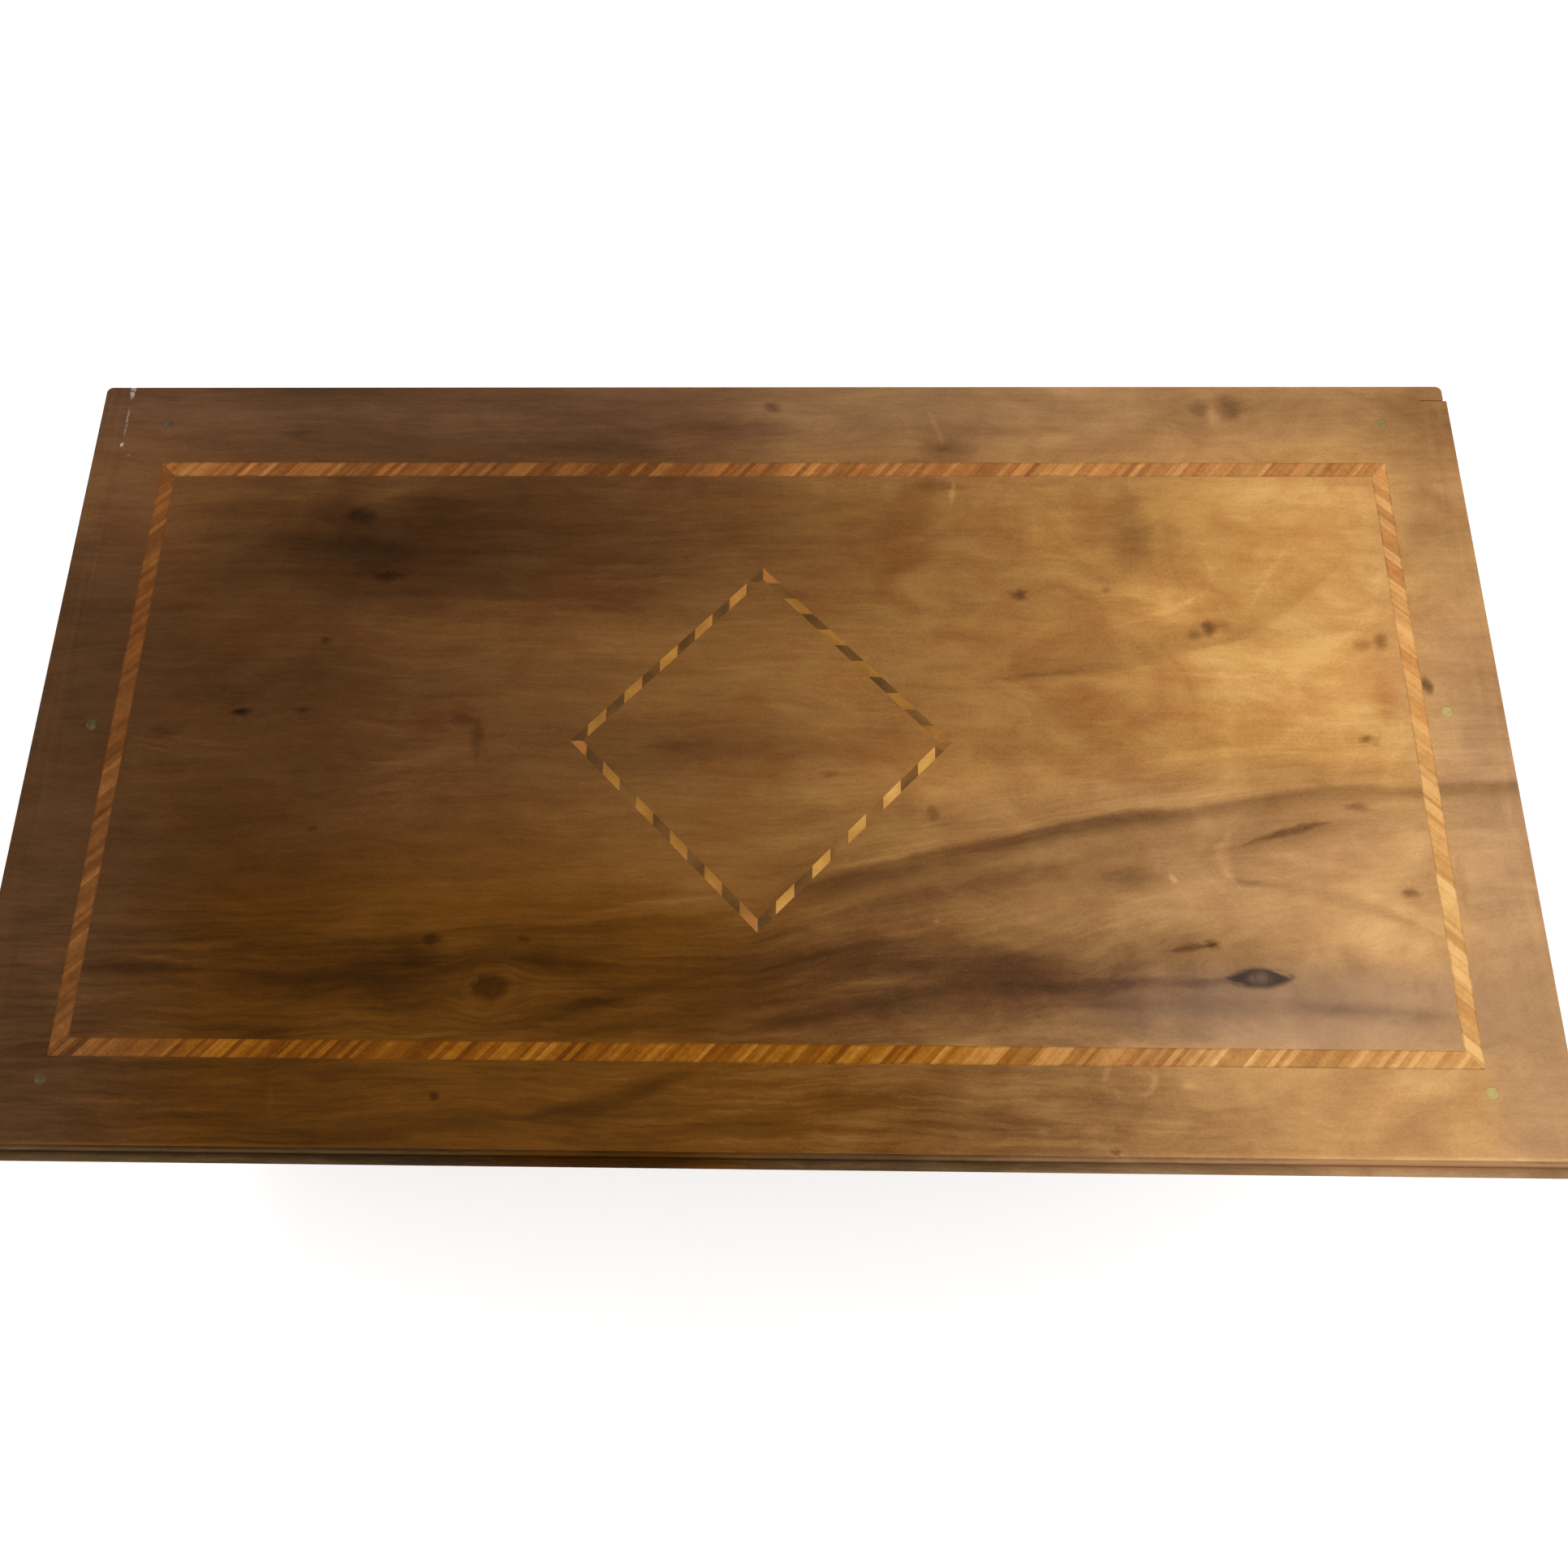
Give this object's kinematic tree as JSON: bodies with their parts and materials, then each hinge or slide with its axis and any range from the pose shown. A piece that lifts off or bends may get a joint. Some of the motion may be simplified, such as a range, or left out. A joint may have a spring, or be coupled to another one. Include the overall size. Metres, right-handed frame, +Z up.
{
  "type": "inlaid wooden puzzle box",
  "caption": "Walnut puzzle box with an inlaid hinged lid, rolling lock pins, a sliding till and a secret plinth drawer locked by a turning foot.",
  "frame": {"origin": "on the surface the box stands on, under the middle of its lid", "axes": "+X to the right along the width, -Y to the front, +Z up"},
  "size_m": [0.36, 0.2002, 0.1343],
  "materials": {
    "walnut_top": "satin varnish over figured walnut",
    "walnut_edge": "satin varnish, rubbed at the arris",
    "walnut_case": "satin varnish",
    "walnut_plinth": "satin varnish",
    "turned_feet": "dark stain and satin varnish",
    "lining_wood": "bare planed wood",
    "hard_maple": "bare, waxed",
    "banding": "slanted light and dark strips under varnish",
    "light_inlay": "varnished light wood",
    "dark_inlay": "varnished dark wood",
    "peg_wood": "end grain under varnish",
    "brass": "aged, brushed",
    "steel": "turned"
  },
  "bodies": {
    "case": {"back_wall": "walnut_case", "base_board": "lining_wood", "base_screws": "steel", "drawer_guide_back": "lining_wood", "drawer_guide_front": "lining_wood", "floor_board": "lining_wood", "foot_back_left": "turned_feet", "foot_back_right": "turned_feet", "foot_front_right": "turned_feet", "front_wall": "walnut_case", "hinge_case_leaves": "brass", "hinge_case_screws": "brass", "hinge_pins": "steel", "housing_plugs": "lining_wood", "key_shaft_bush": "brass", "left_wall": "walnut_case", "pin_housing_left": "lining_wood", "pin_housing_right": "lining_wood", "plinth_back": "walnut_plinth", "plinth_front": "walnut_plinth", "plinth_left": "walnut_plinth", "right_wall": "walnut_case", "till_ledge_back": "lining_wood", "till_ledge_front": "lining_wood", "wall_pegs": "peg_wood"},
    "lid": {"lid_board": "walnut_top", "lid_front_moulding": "walnut_edge", "lid_left_lipping": "walnut_edge", "lid_right_lipping": "walnut_edge", "lid_rear_strip": "walnut_edge", "lid_front_rail": "walnut_case", "lid_back_rail": "walnut_case", "lid_left_rail": "walnut_case", "lid_right_rail": "walnut_case", "lid_pegs": "peg_wood", "band_front": "banding", "band_back": "banding", "band_left": "banding", "band_right": "banding", "diamond_light_blocks": "light_inlay", "diamond_dark_blocks": "dark_inlay", "lid_catch": "hard_maple", "hinge_lid_leaves": "brass", "hinge_lid_screws": "brass"},
    "drawer": {"drawer_front": "walnut_plinth", "drawer_side_front": "lining_wood", "drawer_side_back": "lining_wood", "drawer_back": "lining_wood", "drawer_bottom": "lining_wood"},
    "key": {"key_foot": "turned_feet", "key_shaft": "steel", "key_cam": "hard_maple"},
    "pin_left": {"lock_pin_left": "steel"},
    "pin_right": {"lock_pin_right": "steel"},
    "till": {"till_front": "lining_wood", "till_back": "lining_wood", "till_left": "lining_wood", "till_right": "lining_wood", "till_bottom": "lining_wood"}
  },
  "joints": [
    {"name": "lid_hinge", "type": "hinge", "parent": "case", "child": "lid", "pos_m": [0, 0.0938, 0.10815], "axis": [-1, 0, 0], "range_deg": [0, 100]},
    {"name": "drawer_slide", "type": "slide", "parent": "case", "child": "drawer", "axis": [1, 0, 0], "range_m": [0, 0.2]},
    {"name": "key_turn", "type": "hinge", "parent": "case", "child": "key", "pos_m": [-0.145, -0.07, 0.017], "axis": [0, 0, 1], "range_deg": [0, 90]},
    {"name": "pin_left_roll", "type": "slide", "parent": "case", "child": "pin_left", "axis": [1, 0, 0], "range_m": [0, 0.009]},
    {"name": "pin_right_roll", "type": "slide", "parent": "case", "child": "pin_right", "axis": [-1, 0, 0], "range_m": [0, 0.009]},
    {"name": "till_slide", "type": "slide", "parent": "case", "child": "till", "axis": [1, 0, 0], "range_m": [0, 0.199]}
  ]
}
